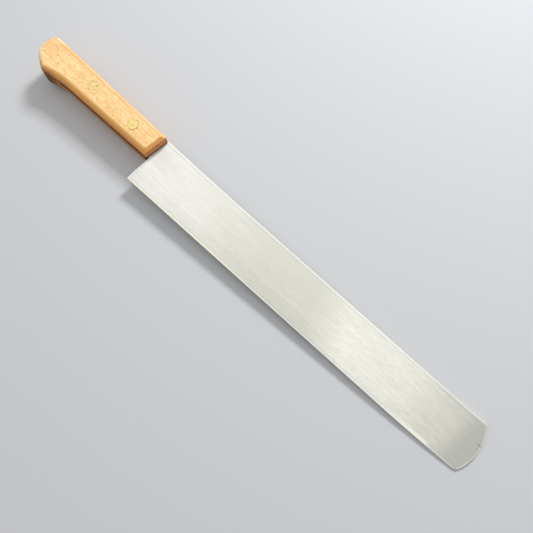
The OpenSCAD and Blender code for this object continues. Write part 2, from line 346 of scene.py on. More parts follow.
def tang_points(spine_in):
    """The tang, from the round of its root below, round its end, to the shoulder above."""
    tang_low = -TANG_DROP - TANG_H
    root = arc((0, 0), 1, 0, math.pi / 2, ROOT_STEPS) * [TANG_ROOT_R + spine_in, TANG_ROOT_R]
    root += [-TANG_ROOT_R, tang_low - TANG_ROOT_R]
    low_corner = (TANG_CORNER_R - TANG_LEN, tang_low + TANG_CORNER_R)
    low = arc(low_corner, TANG_CORNER_R, 1.5 * math.pi, math.pi, TANG_STEPS)
    high_corner = (TANG_CORNER_R - TANG_LEN, -TANG_DROP - TANG_CORNER_R)
    high = arc(high_corner, TANG_CORNER_R, math.pi, math.pi / 2, TANG_STEPS)
    return np.concatenate([root, low, high, [[spine_in, -TANG_DROP]]])


def blade_ring(z):
    """Outline of the blade and tang at a height z above or below the middle."""
    height = abs(z)
    spine_in = round_inset(height, HALF_BLADE, SPINE_ROUND)
    tip_in = round_inset(height, HALF_BLADE, TIP_ROUND)
    edge_in = edge_inset(height)
    tip = tip_points(spine_in, tip_in, edge_in)
    swell_x = np.linspace(spine_in, SWELL_LEN, SWELL_POINTS)
    straight_x = np.linspace(SWELL_LEN, tip[0][0], STRAIGHT_POINTS)[1:-1]
    spine_x = np.concatenate([swell_x, straight_x])
    spine = np.stack([spine_x, spine_y(spine_x) - spine_in], 1)
    edge_x = np.linspace(tip[-1][0], spine_in, EDGE_STEPS + 1)[1:]
    edge = np.stack([edge_x, edge_y(edge_x) + edge_in], 1)
    return np.concatenate([spine, tip, edge, tang_points(spine_in)])


def blade_levels():
    """Heights at which the blade's outline is drawn, closer where its section turns."""
    hone = np.linspace(HALF_EDGE, HALF_HONE, HONE_LEVELS)
    grind = np.linspace(HALF_HONE, HALF_BLADE - SPINE_ROUND, GRIND_LEVELS)[1:]
    turn = np.linspace(0, math.pi / 2, ROUND_LEVELS)[1:]
    rounds = HALF_BLADE - SPINE_ROUND + SPINE_ROUND * np.sin(turn)
    upper = np.concatenate([hone, grind, rounds])
    return np.concatenate([-upper[::-1], upper])


def handle_corners():
    """Sharp corners of the handle in its middle plane, from the front of the spine side on."""
    back = HANDLE_BACK - BUTT_LEAN
    front_low = FRONT_LAP - (TOP_RISE + BELLY_DROP) * math.tan(FRONT_LEAN)
    return np.array([
        [FRONT_LAP, TOP_RISE],
        [-back, TOP_RISE + (back + FRONT_LAP) * math.tan(TOP_SLOPE)],
        [-HANDLE_BACK, -BUTT_DROP],
        [-HOOK_BACK, -HOOK_DROP],
        [-HOLLOW_BACK, -BELLY_DROP - HOLLOW_BACK * math.tan(BELLY_SLOPE)],
        [front_low, -BELLY_DROP],
    ])


def left_of(direction):
    """The direction turned a quarter to the left."""
    return np.array([-direction[1], direction[0]])


def unit(direction):
    """The direction with length 1."""
    return direction / np.linalg.norm(direction)


def drawn_in(points, insets):
    """Each side moved in by its own inset, met again with its neighbours."""
    count = len(points)
    made = []
    for i in range(count):
        before = unit(points[i] - points[i - 1])
        after = unit(points[(i + 1) % count] - points[i])
        p = points[i] + insets[i - 1] * left_of(before)
        q = points[i] + insets[i] * left_of(after)
        made.append(p + before * ((q - p) @ left_of(after)) / (before @ left_of(after)))
    return np.array(made)


def corner_arc(before, corner, after, radius, steps):
    """Arc that rounds a corner between two other points."""
    u, v = unit(corner - before), unit(after - corner)
    turn = math.atan2(u[0] * v[1] - u[1] * v[0], u @ v)
    side = math.copysign(1, turn)
    start = corner - u * radius * math.tan(abs(turn) / 2)
    angle = math.atan2(u[1], u[0]) - side * math.pi / 2
    return arc(start + side * radius * left_of(u), radius, angle, angle + turn, steps)


HANDLE_CORNERS = handle_corners()


def handle_ring(z):
    """Outline of the handle at a height z above or below the middle."""
    height = abs(z)
    belly = bevel_inset(height, BEVEL, BELLY_ARRIS_R)
    front = UPPER_FRONT_BEVEL if z > 0 else FRONT_BEVEL
    insets = [
        bevel_inset(height, BEVEL, SPINE_ARRIS_R),
        round_inset(height, HALF_HANDLE, BUTT_ROUND),
        round_inset(height, HALF_HANDLE, UNDER_ROUND),
        belly,
        belly,
        bevel_inset(height, front, FRONT_ARRIS_R),
    ]
    corners = drawn_in(HANDLE_CORNERS, insets)
    parts = []
    for i, steps in enumerate(CORNER_STEPS):
        if i == HOLLOW_CORNER:
            radius = CORNER_R[i] + insets[i]
        else:
            radius = max(LEAST_R, CORNER_R[i] - min(insets[i], insets[i - 1]))
        after = corners[(i + 1) % len(corners)]
        parts.append(corner_arc(corners[i - 1], corners[i], after, radius, steps))
    return np.concatenate(parts)


def handle_levels():
    """Heights at which the handle's outline is drawn, closer where an arris is round."""
    quarter = np.linspace(0, math.pi / 2, UNDER_LEVELS)
    eighth = np.linspace(0, BEVEL_ANGLE, ARRIS_LEVELS)
    marks = [HALF_HANDLE - UNDER_ROUND * (1 - np.sin(quarter))]
    for width, arris in ((BEVEL, SPINE_ARRIS_R), (BEVEL, BELLY_ARRIS_R),
                         (FRONT_BEVEL, FRONT_ARRIS_R), (UPPER_FRONT_BEVEL, FRONT_ARRIS_R)):
        start = HALF_HANDLE - width - arris_reach(arris)
        marks.append(start + arris * np.sin(eighth))
        marks.append(HALF_HANDLE - arris * (1 - np.cos(eighth)))
    ordered = np.sort(np.concatenate(marks))
    upper = [HALF_HANDLE]
    for z in ordered[::-1]:
        if upper[-1] - z > LEAST_LEVEL:
            upper.append(z)
    upper = np.array(upper[::-1])
    return np.concatenate([-upper[::-1], upper])


# Pose of the knife on the table, from its sizes and from where the frame has the blade

def find_pose():
    """Tilt of the knife on its cheek and tip, and the matrix that lays the flat knife down."""
    cheek = drawn_in(HANDLE_CORNERS, [BEVEL, BUTT_ROUND, UNDER_ROUND, BEVEL, BEVEL, FRONT_BEVEL])
    tilt = math.atan((HALF_HANDLE - HALF_BLADE) / (BLADE_LEN - cheek[0][0]))
    turn = Matrix.Rotation(tilt, 4, "Y")
    low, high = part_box("blade")
    tip = turn @ Vector((BLADE_LEN, 0, HALF_BLADE))
    base = turn @ Vector((BLADE_LEN, 0, -HALF_BLADE))
    shift = Vector((high[0] - tip.x, low[1] + HEEL_H, low[2] - base.z))
    return tilt, Matrix.Translation(shift) @ turn


TILT, LAID = find_pose()


# Meshes

def add_bands(mesh, loops):
    """Faces between each loop of points and the next."""
    for low, high in zip(loops, loops[1:]):
        for i in range(len(low)):
            j = (i + 1) % len(low)
            mesh.faces.new((low[i], low[j], high[j], high[i]))


def add_closed(mesh, loops):
    """The same with a face over the first loop and one over the last."""
    add_bands(mesh, loops)
    mesh.faces.new(loops[0])
    mesh.faces.new(loops[-1][::-1])


def linked(name, data):
    """An object of the scene that shows the data."""
    made = bpy.data.objects.new(name, data)
    bpy.context.collection.objects.link(made)
    return made


def in_scene(name, mesh):
    """An object of the scene from a drawn mesh."""
    data = bpy.data.meshes.new(name)
    mesh.to_mesh(data)
    mesh.free()
    return linked(name, data)


def placed(name, mesh):
    """A scene object from a mesh that was drawn flat, cleaned and laid on the table."""
    bmesh.ops.remove_doubles(mesh, verts=mesh.verts, dist=WELD)
    bmesh.ops.dissolve_degenerate(mesh, edges=mesh.edges, dist=SLIVER)
    bmesh.ops.recalc_face_normals(mesh, faces=mesh.faces)
    mesh.transform(LAID)
    return in_scene(name, mesh)


def loft(name, rings, levels):
    """A closed piece through outlines that have the same number of points."""
    mesh = bmesh.new()
    add_closed(mesh, [[mesh.verts.new((x, y, z)) for x, y in ring]
                      for ring, z in zip(rings, levels)])
    return placed(name, mesh)


def prism(name, outline, low, high):
    """A straight piece between two heights, for cutting."""
    return loft(name, [outline, outline], [low, high])


def cut_from(piece, cutters):
    """Takes the cutters away from the piece and deletes them."""
    for cutter in cutters:
        step = piece.modifiers.new("cut", "BOOLEAN")
        step.operation = "DIFFERENCE"
        step.solver = "EXACT"
        step.object = cutter
        graph = bpy.context.evaluated_depsgraph_get()
        made = bpy.data.meshes.new_from_object(piece.evaluated_get(graph))
        piece.modifiers.clear()
        piece.data = made
        bpy.data.objects.remove(cutter)


def smoothed(piece, angle):
    """Smooth shading that keeps arrises sharp and flats flat."""
    piece.data.polygons.foreach_set("use_smooth", [True] * len(piece.data.polygons))
    piece.data.set_sharp_from_angle(angle=math.radians(angle))
    even = piece.modifiers.new("even_normals", "WEIGHTED_NORMAL")
    even.mode = "FACE_AREA"
    even.weight = FACE_AREA_WEIGHT
    even.keep_sharp = True


def bore_prism(at, half):
    """Cutter for the bore of a rivet's tube, through all that is within half of the middle."""
    return prism("bore", circle(at, TUBE_R + RIVET_CLEAR, BORE_SIDES), -half, half)


def make_blade():
    """The blade with its tang, through which the rivets go."""
    levels = blade_levels()
    piece = loft("blade_steel", [blade_ring(z) for z in levels], levels)
    cut_from(piece, [bore_prism(at, BLADE_T) for at in RIVETS.values()])
    smoothed(piece, BLADE_SHARP)
    return piece


def mouth_prism(low, high):
    """Cutter for the small bevels where the saw cut opens at the front."""
    half = CUT_T / 2
    wide = half + MOUTH_BEVEL + MOUTH_PAST
    upper = [(-MOUTH_BEVEL, half), (MOUTH_PAST, wide)]
    lower = [(MOUTH_PAST, -wide), (-MOUTH_BEVEL, -half)]
    mesh = bmesh.new()
    lean = math.tan(FRONT_LEAN)
    add_closed(mesh, [[mesh.verts.new((FRONT_LAP + x + (y - TOP_RISE) * lean, y, z))
                       for x, z in upper + lower] for y in (low, high)])
    return placed("mouth", mesh)


def make_handle():
    """The handle with its saw cut and the rivets' bores and seats."""
    levels = handle_levels()
    piece = loft("handle_wood", [handle_ring(z) for z in levels], levels)
    front = FRONT_LAP + CUT_PAST
    slot = np.array([[CUT_END, CUT_LOW], [front, CUT_LOW], [front, CUT_HIGH], [CUT_END, CUT_HIGH]])
    cutters = [prism("saw_cut", slot, -CUT_T / 2, CUT_T / 2), mouth_prism(CUT_LOW, CUT_HIGH)]
    above = HALF_HANDLE + CUT_PAST
    seat_floor = HALF_HANDLE - HEAD_T
    for name, at in RIVETS.items():
        shift = FRONT_SEAT_SHIFT if name == "front" else (0, 0)
        wider = FRONT_SEAT_WIDER if name == "front" else 0
        top = (at[0] + shift[0], at[1] + shift[1])
        upper = circle(top, HEAD_R + HEAD_CLEAR + wider, HEAD_SIDES)
        lower = circle(at, HEAD_R + HEAD_CLEAR, HEAD_SIDES)
        cutters.append(bore_prism(at, above))
        cutters.append(prism("seat", upper, seat_floor, above))
        cutters.append(prism("seat", lower, -above, -seat_floor))
    cut_from(piece, cutters)
    smoothed(piece, HANDLE_SHARP)
    return piece


def lathe(name, at, profile, bend=None):
    """A turned piece on the rivet's axis. Points of the profile are a radius and a height."""
    mesh = bmesh.new()
    loops = []
    for radius, z in profile:
        loop = []
        for x, y in circle((0, 0), radius, HEAD_SIDES):
            lift = bend(x, y, z) if bend else 0
            loop.append(mesh.verts.new((at[0] + x, at[1] + y, z + lift)))
        loops.append(loop)
    add_bands(mesh, loops)
    piece = placed(name, mesh)
    smoothed(piece, RIVET_SHARP)
    return piece


def head_profile(sign):
    """Head of a rivet from its middle out and round its edge. The sign is that of its cheek."""
    flat = [(radius, HALF_HANDLE) for radius in np.arange(0, HEAD_R - HEAD_EDGE, HEAD_RING)]
    turns = np.linspace(0, math.pi / 2, HEAD_EDGE_POINTS)
    outer = HEAD_R - HEAD_EDGE * (1 - np.sin(turns))
    lower = HALF_HANDLE - HEAD_EDGE * (1 - np.cos(turns))
    profile = flat + list(zip(outer, lower)) + [(HEAD_R, HALF_HANDLE - HEAD_T)]
    return [(radius, sign * z) for radius, z in profile]


def dented(x, y, z):
    """The dent in the rear rivet's upper head."""
    if z < HALF_HANDLE - HEAD_EDGE:
        return 0
    away = ((x - DENT_AT[0]) ** 2 + (y - DENT_AT[1]) ** 2) / DENT_W ** 2
    return -DENT_DEEP * math.exp(-away)


def make_tube(name, at):
    """Upper head of a rivet with its hollow shank."""
    end = -HALF_HANDLE + HEAD_T + RIVET_SPARE
    top = HALF_HANDLE - HEAD_T
    inner = PIN_R + PIN_CLEAR
    profile = head_profile(1)
    profile += [(TUBE_R, top), (TUBE_R, end), (inner, end), (inner, top), (0, top)]
    return lathe(name + "_rivet_head_and_tube", at, profile, dented if name == "rear" else None)


def make_pin(name, at):
    """Lower head of a rivet with the pin that goes up into the tube."""
    end = HALF_HANDLE - HEAD_T - RIVET_SPARE
    under = -HALF_HANDLE + HEAD_T
    profile = head_profile(-1) + [(PIN_R, under), (PIN_R, end), (0, end)]
    return lathe(name + "_rivet_head_and_pin", at, profile)


# Colours of the steel: its body from the heel to the tip, whose lighter and darker stretches
# are painted reflections, then what lies on it
STEEL_HEEL = srgb(247, 247, 241)
STEEL_MIDDLE = srgb(214, 214, 204)
STEEL_PALE = srgb(243, 243, 235)
STEEL_FAR = srgb(211, 211, 202)
STEEL_TIP = srgb(194, 195, 188)
STEEL_PAINTED_LIGHT = srgb(253, 255, 255)
STEEL_BRUSHED = srgb(160, 160, 152)
STEEL_WORN = srgb(160, 159, 150)
STEEL_CLOUD = srgb(190, 187, 172)
STEEL_SECOND_LINE = srgb(186, 186, 178)
STEEL_RIM_HIGHLIGHT = srgb(238, 238, 232)
STEEL_EDGE_HIGHLIGHT = srgb(250, 249, 236)
STEEL_HEEL_HIGHLIGHT = srgb(253, 248, 224)
STEEL_NICK = srgb(92, 90, 84)
STEEL_METALLIC = 0.7

# Where the steel changes, in millimetres. A pair says where a change starts and ends. Four numbers
# say where it starts, is full, starts to fade and is gone. A slant says how far a change leans for
# each millimetre across the blade. PAINTED_LIGHT_FADES and MATT_FADES count from the line of
# from_front. RIM_HIGHLIGHT_FADES, SECOND_LINE, SPINE_ROUGH_FADES and what ends in ACROSS count
# from the outline or the nick.
HEEL_FADES = (24, 116)
PALE_RISES = (137, 172)
PALE_SLANT = 0.3
FAR_RISES = (204, 268)
TIP_REFLECTION_RISES = (252, 264)
TIP_REFLECTION_SLANT = -0.1
PAINTED_LIGHT_FADES = (2.0, 8.0)
PAINTED_LIGHT_ABOVE = (-24, -15)
MATT_FADES = (2.5, 10.0)
MATT_ABOVE = (-26, -17)
WORN_GROWS = (60, 200)
RIM_HIGHLIGHT_FADES = (0.35, 0.9)
RIM_HIGHLIGHT_GROWS_FROM_TIP = (0, 4)
SECOND_LINE = (1.0, 1.5, 1.7, 2.3)
EDGE_HIGHLIGHT_ALONG = (205, 236, 243, 250)
EDGE_HIGHLIGHT_ACROSS = (0.8, 3.4)
HEEL_HIGHLIGHT_ALONG = (70, 140)
HEEL_HIGHLIGHT_ACROSS = (0.4, 1.5)
NICK_Y = -12.15
NICK_ACROSS = (0.12, 0.34)
NICK_ALONG = (265.8, 267.4)
SPINE_ROUGH_FADES = (0.4, 1.0)

# Colours of the wood, from its grain to the painted shade in its saw cut
WOOD_DARK = srgb(247, 202, 143)
WOOD_LIGHT = srgb(252, 222, 164)
WOOD_BAND = srgb(238, 186, 122)
WOOD_FIBRE = srgb(226, 164, 98)
WOOD_GLEAM = srgb(255, 240, 190)
WOOD_FLECK = srgb(204, 140, 82)
WOOD_SIDE_PATINA_AND_SHADE = srgb(224, 140, 54)
BELLY_BEVEL_SHADED = srgb(244, 166, 84)
BELLY_BEVEL_LIT = srgb(255, 198, 118)
BELLY_ARRIS_HIGHLIGHT = srgb(255, 220, 156)
BUTT_HIGHLIGHT = srgb(255, 226, 170)
SPINE_BEVEL_SHADE = srgb(210, 152, 88)
BELLY_DARK_ABOVE_CUT = srgb(126, 80, 38)
BELLY_SHADE_BELOW_CUT = srgb(120, 78, 38)
END_GRAIN_DARK = srgb(186, 114, 60)
END_GRAIN_LIGHT = srgb(236, 164, 104)
FRONT_RIM = srgb(228, 158, 78)
HOLLOW_SHADE_BROWN = srgb(110, 56, 16)
CUT_SHADE = srgb(34, 20, 12)
WOOD_SPECULAR = 0.15

# Where the wood changes, in millimetres. Heights count up and down from the middle plane, and the
# cheeks are at 9.5. END_GRAIN_RISES, FRONT_RIM_RISES and MOUTH_ALONG count from the line of
# from_front.
SIDES_FADE = (4.8, 9.0)
SIDES_BELLY = (-17.0, -11.0)
BELLY_BEVEL_HEIGHTS = (6.2, 7.2, 9.35, 9.5)
BELLY_BEVEL_TONES = (7.2, 9.0)
BELLY_BEVEL_BELOW = (-15.5, -12.5)
BELLY_ARRIS_HEIGHTS = (9.0, 9.4, 9.46, 9.5)
BELLY_ARRIS_BELOW = (-15.0, -12.0)
BUTT_ALONG = (-106, -102)
BUTT_ABOVE = (-19.5, -17)
BUTT_HEIGHTS = (6, 7, 9.3, 9.5)
SPINE_ARRIS_HEIGHTS = (7.9, 8.7, 9.4, 9.5)
SPINE_ARRIS_ABOVE = (-6.0, -3.0)
BELLY_DARK_ABOVE_Z = (0.2, 1.0, 2.0, 5.2)
BELLY_SHADE_BELOW_Z = (-0.6, 0.2)
BELLY_FACE_OUTSIDE = (-17.4, -16.4)
END_GRAIN_RISES = (0.35, 1.0)
END_GRAIN_FADES = (7.3, 8.0)
FRONT_RIM_RISES = (-2.2, -1.0)
FRONT_RIM_HEIGHTS = (7.4, 8.0, 9.42, 9.5)
HOLLOW_BELOW = (-19.6, -17.0)
HOLLOW_ALONG = (-97, -86)
HOLLOW_Z = (4.5, 9.4)
CUT_HEIGHTS = (1.0, 1.3)
CUT_ALONG = (-90, -86)
MOUTH_HEIGHTS = (2.3, 3.0)
MOUTH_ALONG = (-0.7, -0.2)
CUT_SHADE_STRENGTH = 0.92

# Colours of the brass, and where it changes, in millimetres: by the distance from a head's middle,
# and at the dent by the square of the distance and by height
BRASS_LOW = srgb(246, 214, 140)
BRASS_HIGH = srgb(255, 238, 168)
BRASS_STAIN = srgb(230, 198, 120)
BRASS_RING = srgb(206, 160, 92)
BRASS_DENT_DARK = srgb(92, 78, 34)
BRASS_METALLIC = 0.7
RING_RISES = (3.0, 3.5)
DENT_DARK_FADES = (0.1, 0.5)
DENT_DARK_HEIGHTS = (8.0, 9.0)

# Colour of the floor
FLOOR_PALE = srgb(198, 200, 203)


# Nodes

def feed(tree, socket, value):
    """Links an output to the socket, or sets the socket to a plain value."""
    if isinstance(value, bpy.types.NodeSocket):
        tree.links.new(value, socket)
    else:
        socket.default_value = value


def math_node(tree, operation, *values):
    """Output of a new node that works on the values."""
    made = tree.nodes.new("ShaderNodeMath")
    made.operation = operation
    for socket, value in zip(made.inputs, values):
        feed(tree, socket, value)
    return made.outputs[0]


# Materials. Each works in the flat knife's own axes, in millimetres.

class Surface:
    """A material with short ways to add and join its nodes."""

    def __init__(self, name):
        self.material = bpy.data.materials.new(name)
        self.material.use_nodes = True
        self.tree = self.material.node_tree
        self.shader = self.tree.nodes["Principled BSDF"]
        place = self.node("ShaderNodeTexCoord").outputs["Object"]
        flat = self.node("ShaderNodeMapping")
        flat.vector_type = "TEXTURE"
        flat.inputs["Location"].default_value = LAID.translation
        flat.inputs["Rotation"].default_value = (0, TILT, 0)
        flat.inputs["Scale"].default_value = (MM, MM, MM)
        self.feed(flat.inputs["Vector"], place)
        self.flat = flat.outputs["Vector"]
        parts = self.node("ShaderNodeSeparateXYZ")
        self.feed(parts.inputs[0], self.flat)
        self.x, self.y, self.z = parts.outputs

    def node(self, kind):
        """A new node of this kind."""
        return self.tree.nodes.new(kind)

    def feed(self, socket, value):
        """Links an output to the socket, or sets the socket to a plain value."""
        feed(self.tree, socket, value)

    def math(self, operation, *values):
        """Output of a new node that works on the values."""
        return math_node(self.tree, operation, *values)

    # Sums and products of outputs and plain values

    def plus(self, first, second):
        return self.math("ADD", first, second)

    def less(self, first, second):
        return self.math("SUBTRACT", first, second)

    def times(self, first, *others):
        for other in others:
            first = self.math("MULTIPLY", first, other)
        return first

    def square(self, value):
        return self.math("POWER", value, 2)

    def squares(self, first, second):
        """Sum of both squares."""
        return self.plus(self.square(first), self.square(second))

    def square_from(self, at):
        """Square of the distance from a place on the flat knife."""
        return self.squares(self.less(self.x, at[0] / MM), self.less(self.y, at[1] / MM))

    def from_front(self):
        """Distance along the knife from a line at the heel that leans as the wood's front does.
        That front lies at FRONT_LAP."""
        above = self.less(self.y, TOP_RISE / MM)
        return self.plus(self.x, self.times(above, -math.tan(FRONT_LEAN)))

    def ramp(self, value, low, high, start=0.0, end=1.0):
        """Smooth change from start to end as the value goes from low to high."""
        made = self.node("ShaderNodeMapRange")
        made.interpolation_type = "SMOOTHSTEP"
        settings = {"From Min": low, "From Max": high, "To Min": start, "To Max": end}
        for name, setting in settings.items():
            made.inputs[name].default_value = setting
        self.feed(made.inputs["Value"], value)
        return made.outputs["Result"]

    def fade(self, value, low, high, top=1.0):
        """Smooth change from top down to 0."""
        return self.ramp(value, low, high, start=top, end=0.0)

    def band(self, value, start, full, ebb, gone, top=1.0):
        """Rises from start to full, and falls again from ebb to gone."""
        return self.times(self.ramp(value, start, full), self.fade(value, ebb, gone, top))

    def noise(self, stretch, detail=3.0, rough=0.5, offset=(0, 0, 0)):
        """Noise whose features are about 1 / stretch millimetres long on each axis."""
        shift = self.node("ShaderNodeMapping")
        shift.inputs["Scale"].default_value = stretch
        shift.inputs["Location"].default_value = offset
        self.feed(shift.inputs["Vector"], self.flat)
        made = self.node("ShaderNodeTexNoise")
        made.inputs["Scale"].default_value = 1
        made.inputs["Detail"].default_value = detail
        made.inputs["Roughness"].default_value = rough
        self.feed(made.inputs["Vector"], shift.outputs[0])
        return made.outputs["Fac"]

    def mix(self, share, first, second):
        """The first colour where the share is 0, the second where it is 1."""
        made = self.node("ShaderNodeMix")
        made.data_type = "RGBA"
        colours = [socket for socket in made.inputs if socket.type == "RGBA"]
        self.feed(made.inputs["Factor"], share)
        self.feed(colours[0], first)
        self.feed(colours[1], second)
        return next(socket for socket in made.outputs if socket.type == "RGBA")

    def bump(self, height, strength, distance):
        """Fine relief that follows the height, in the shading only."""
        made = self.node("ShaderNodeBump")
        made.inputs["Strength"].default_value = strength
        made.inputs["Distance"].default_value = distance
        self.feed(made.inputs["Height"], height)
        self.feed(self.shader.inputs["Normal"], made.outputs[0])

    def finish(self, colour, roughness, metallic=0.0):
        """Sets what the shader shows, and gives the material."""
        self.feed(self.shader.inputs["Base Color"], colour)
        self.feed(self.shader.inputs["Roughness"], roughness)
        self.feed(self.shader.inputs["Metallic"], metallic)
        return self.material


def blade_distances(s):
    """How far each place of the blade is from the spine, from the tip's arc and from the edge."""
    swell = s.less(1, s.math("DIVIDE", s.x, SWELL_LEN / MM))
    swell = s.square(s.math("MAXIMUM", swell, 0))
    from_spine = s.less(s.times(swell, SWELL / MM), s.y)
    across = s.math("MAXIMUM", s.less(s.x, (BLADE_LEN - TIP_R) / MM), 0)
    along = s.plus(s.y, TIP_DROP / MM)
    from_tip = s.less(TIP_R / MM, s.math("SQRT", s.squares(across, along)))
    swept = s.math("DIVIDE", s.less(s.x, SWEEP_X / MM), SWEEP_LEN / MM)
    lift = s.times(s.square(s.math("MAXIMUM", swept, 0)), SWEEP_RISE / MM)
    line = s.less(s.times(s.x, TAPER_SLOPE), HEEL_H / MM)
    from_edge = s.less(s.y, s.plus(line, lift))
    return from_spine, from_tip, from_edge


def steel_material():
    """Carbon steel, finely brushed along the blade, with painted highlights along its edges and
    painted reflections that darken towards the tip.
    """
    s = Surface("brushed_steel")
    fine = s.noise(stretch=(0.05, 5.0, 5.0), detail=3, rough=0.6)
    lines = s.noise(stretch=(0.03, 1.6, 1.6), detail=2, offset=(3, 9, 1))
    marks = s.noise(stretch=(0.2, 1.6, 1.6), detail=3, rough=0.65, offset=(5, 1, 2))
    clouds = s.noise(stretch=(0.035, 0.07, 0.07), detail=3, offset=(7, 2, 5))
    brushed = s.plus(s.times(fine, 0.5), s.times(lines, 0.5))
    # Painted reflections: lighter and darker stretches from the heel to the tip, darkest near the
    # tip
    body = s.mix(s.ramp(s.x, *HEEL_FADES), STEEL_HEEL, STEEL_MIDDLE)
    slanted = s.plus(s.x, s.times(s.y, PALE_SLANT))
    body = s.mix(s.ramp(slanted, *PALE_RISES), body, STEEL_PALE)
    body = s.mix(s.ramp(s.x, *FAR_RISES), body, STEEL_FAR)
    slanted = s.plus(s.x, s.times(s.y, TIP_REFLECTION_SLANT))
    body = s.mix(s.ramp(slanted, *TIP_REFLECTION_RISES), body, STEEL_TIP)
    # Beside the wood the steel is painted brighter: painted light against the shade of the wood's
    # front
    front = s.from_front()
    painted_light = s.times(s.fade(front, *PAINTED_LIGHT_FADES), s.ramp(s.y, *PAINTED_LIGHT_ABOVE))
    body = s.mix(painted_light, body, STEEL_PAINTED_LIGHT)
    # Brush lines, longer marks of use and faint clouds
    body = s.mix(s.fade(brushed, low=0.36, high=0.62, top=0.14), body, STEEL_BRUSHED)
    depth = s.ramp(s.x, *WORN_GROWS, start=0.12, end=0.19)
    worn = s.times(s.ramp(marks, low=0.36, high=0.64), depth)
    body = s.mix(worn, body, STEEL_WORN)
    body = s.mix(s.ramp(clouds, low=0.4, high=0.64, end=0.1), body, STEEL_CLOUD)
    # The outline gets a painted highlight, fainter at the tip, with a darker line inside it
    from_spine, from_tip, from_edge = blade_distances(s)
    from_side = s.math("MINIMUM", from_spine, from_tip)
    nearest = s.math("MINIMUM", from_side, s.math("MINIMUM", from_edge, s.x))
    body = s.mix(s.band(nearest, *SECOND_LINE, top=0.3), body, STEEL_SECOND_LINE)
    rim = s.times(s.fade(nearest, *RIM_HIGHLIGHT_FADES, top=0.85),
                  s.ramp(from_tip, *RIM_HIGHLIGHT_GROWS_FROM_TIP, start=0.65))
    body = s.mix(rim, body, STEEL_RIM_HIGHLIGHT)
    # Painted highlights: a warm bright line along the cutting edge before the tip, and a thin one
    # near the heel
    warm = s.times(s.band(s.x, *EDGE_HIGHLIGHT_ALONG), s.fade(from_edge, *EDGE_HIGHLIGHT_ACROSS, top=0.9))
    body = s.mix(warm, body, STEEL_EDGE_HIGHLIGHT)
    thin = s.times(s.fade(from_edge, *HEEL_HIGHLIGHT_ACROSS, top=0.8), s.fade(s.x, *HEEL_HIGHLIGHT_ALONG))
    body = s.mix(thin, body, STEEL_HEEL_HIGHLIGHT)
    # Short dark nick that runs in from the tip
    off_nick = s.math("ABSOLUTE", s.less(s.y, NICK_Y))
    nick = s.times(s.fade(off_nick, *NICK_ACROSS, top=0.7), s.ramp(s.x, *NICK_ALONG))
    body = s.mix(nick, body, STEEL_NICK)
    # The arris of the spine is rougher, so the lamp doesn't flash in it
    rough = s.math("MAXIMUM", s.ramp(marks, low=0.3, high=0.7, start=0.30, end=0.38),
                   s.ramp(from_spine, *SPINE_ROUGH_FADES, start=0.75, end=0.3))
    s.bump(s.plus(brushed, s.times(marks, 0.4)), strength=0.1, distance=0.02 * MM)
    # Beside the wood it mirrors less, so the wood doesn't tint it
    matt = s.times(s.fade(front, *MATT_FADES, top=STEEL_METALLIC), s.ramp(s.y, *MATT_ABOVE))
    return s.finish(body, rough, s.less(STEEL_METALLIC, matt))


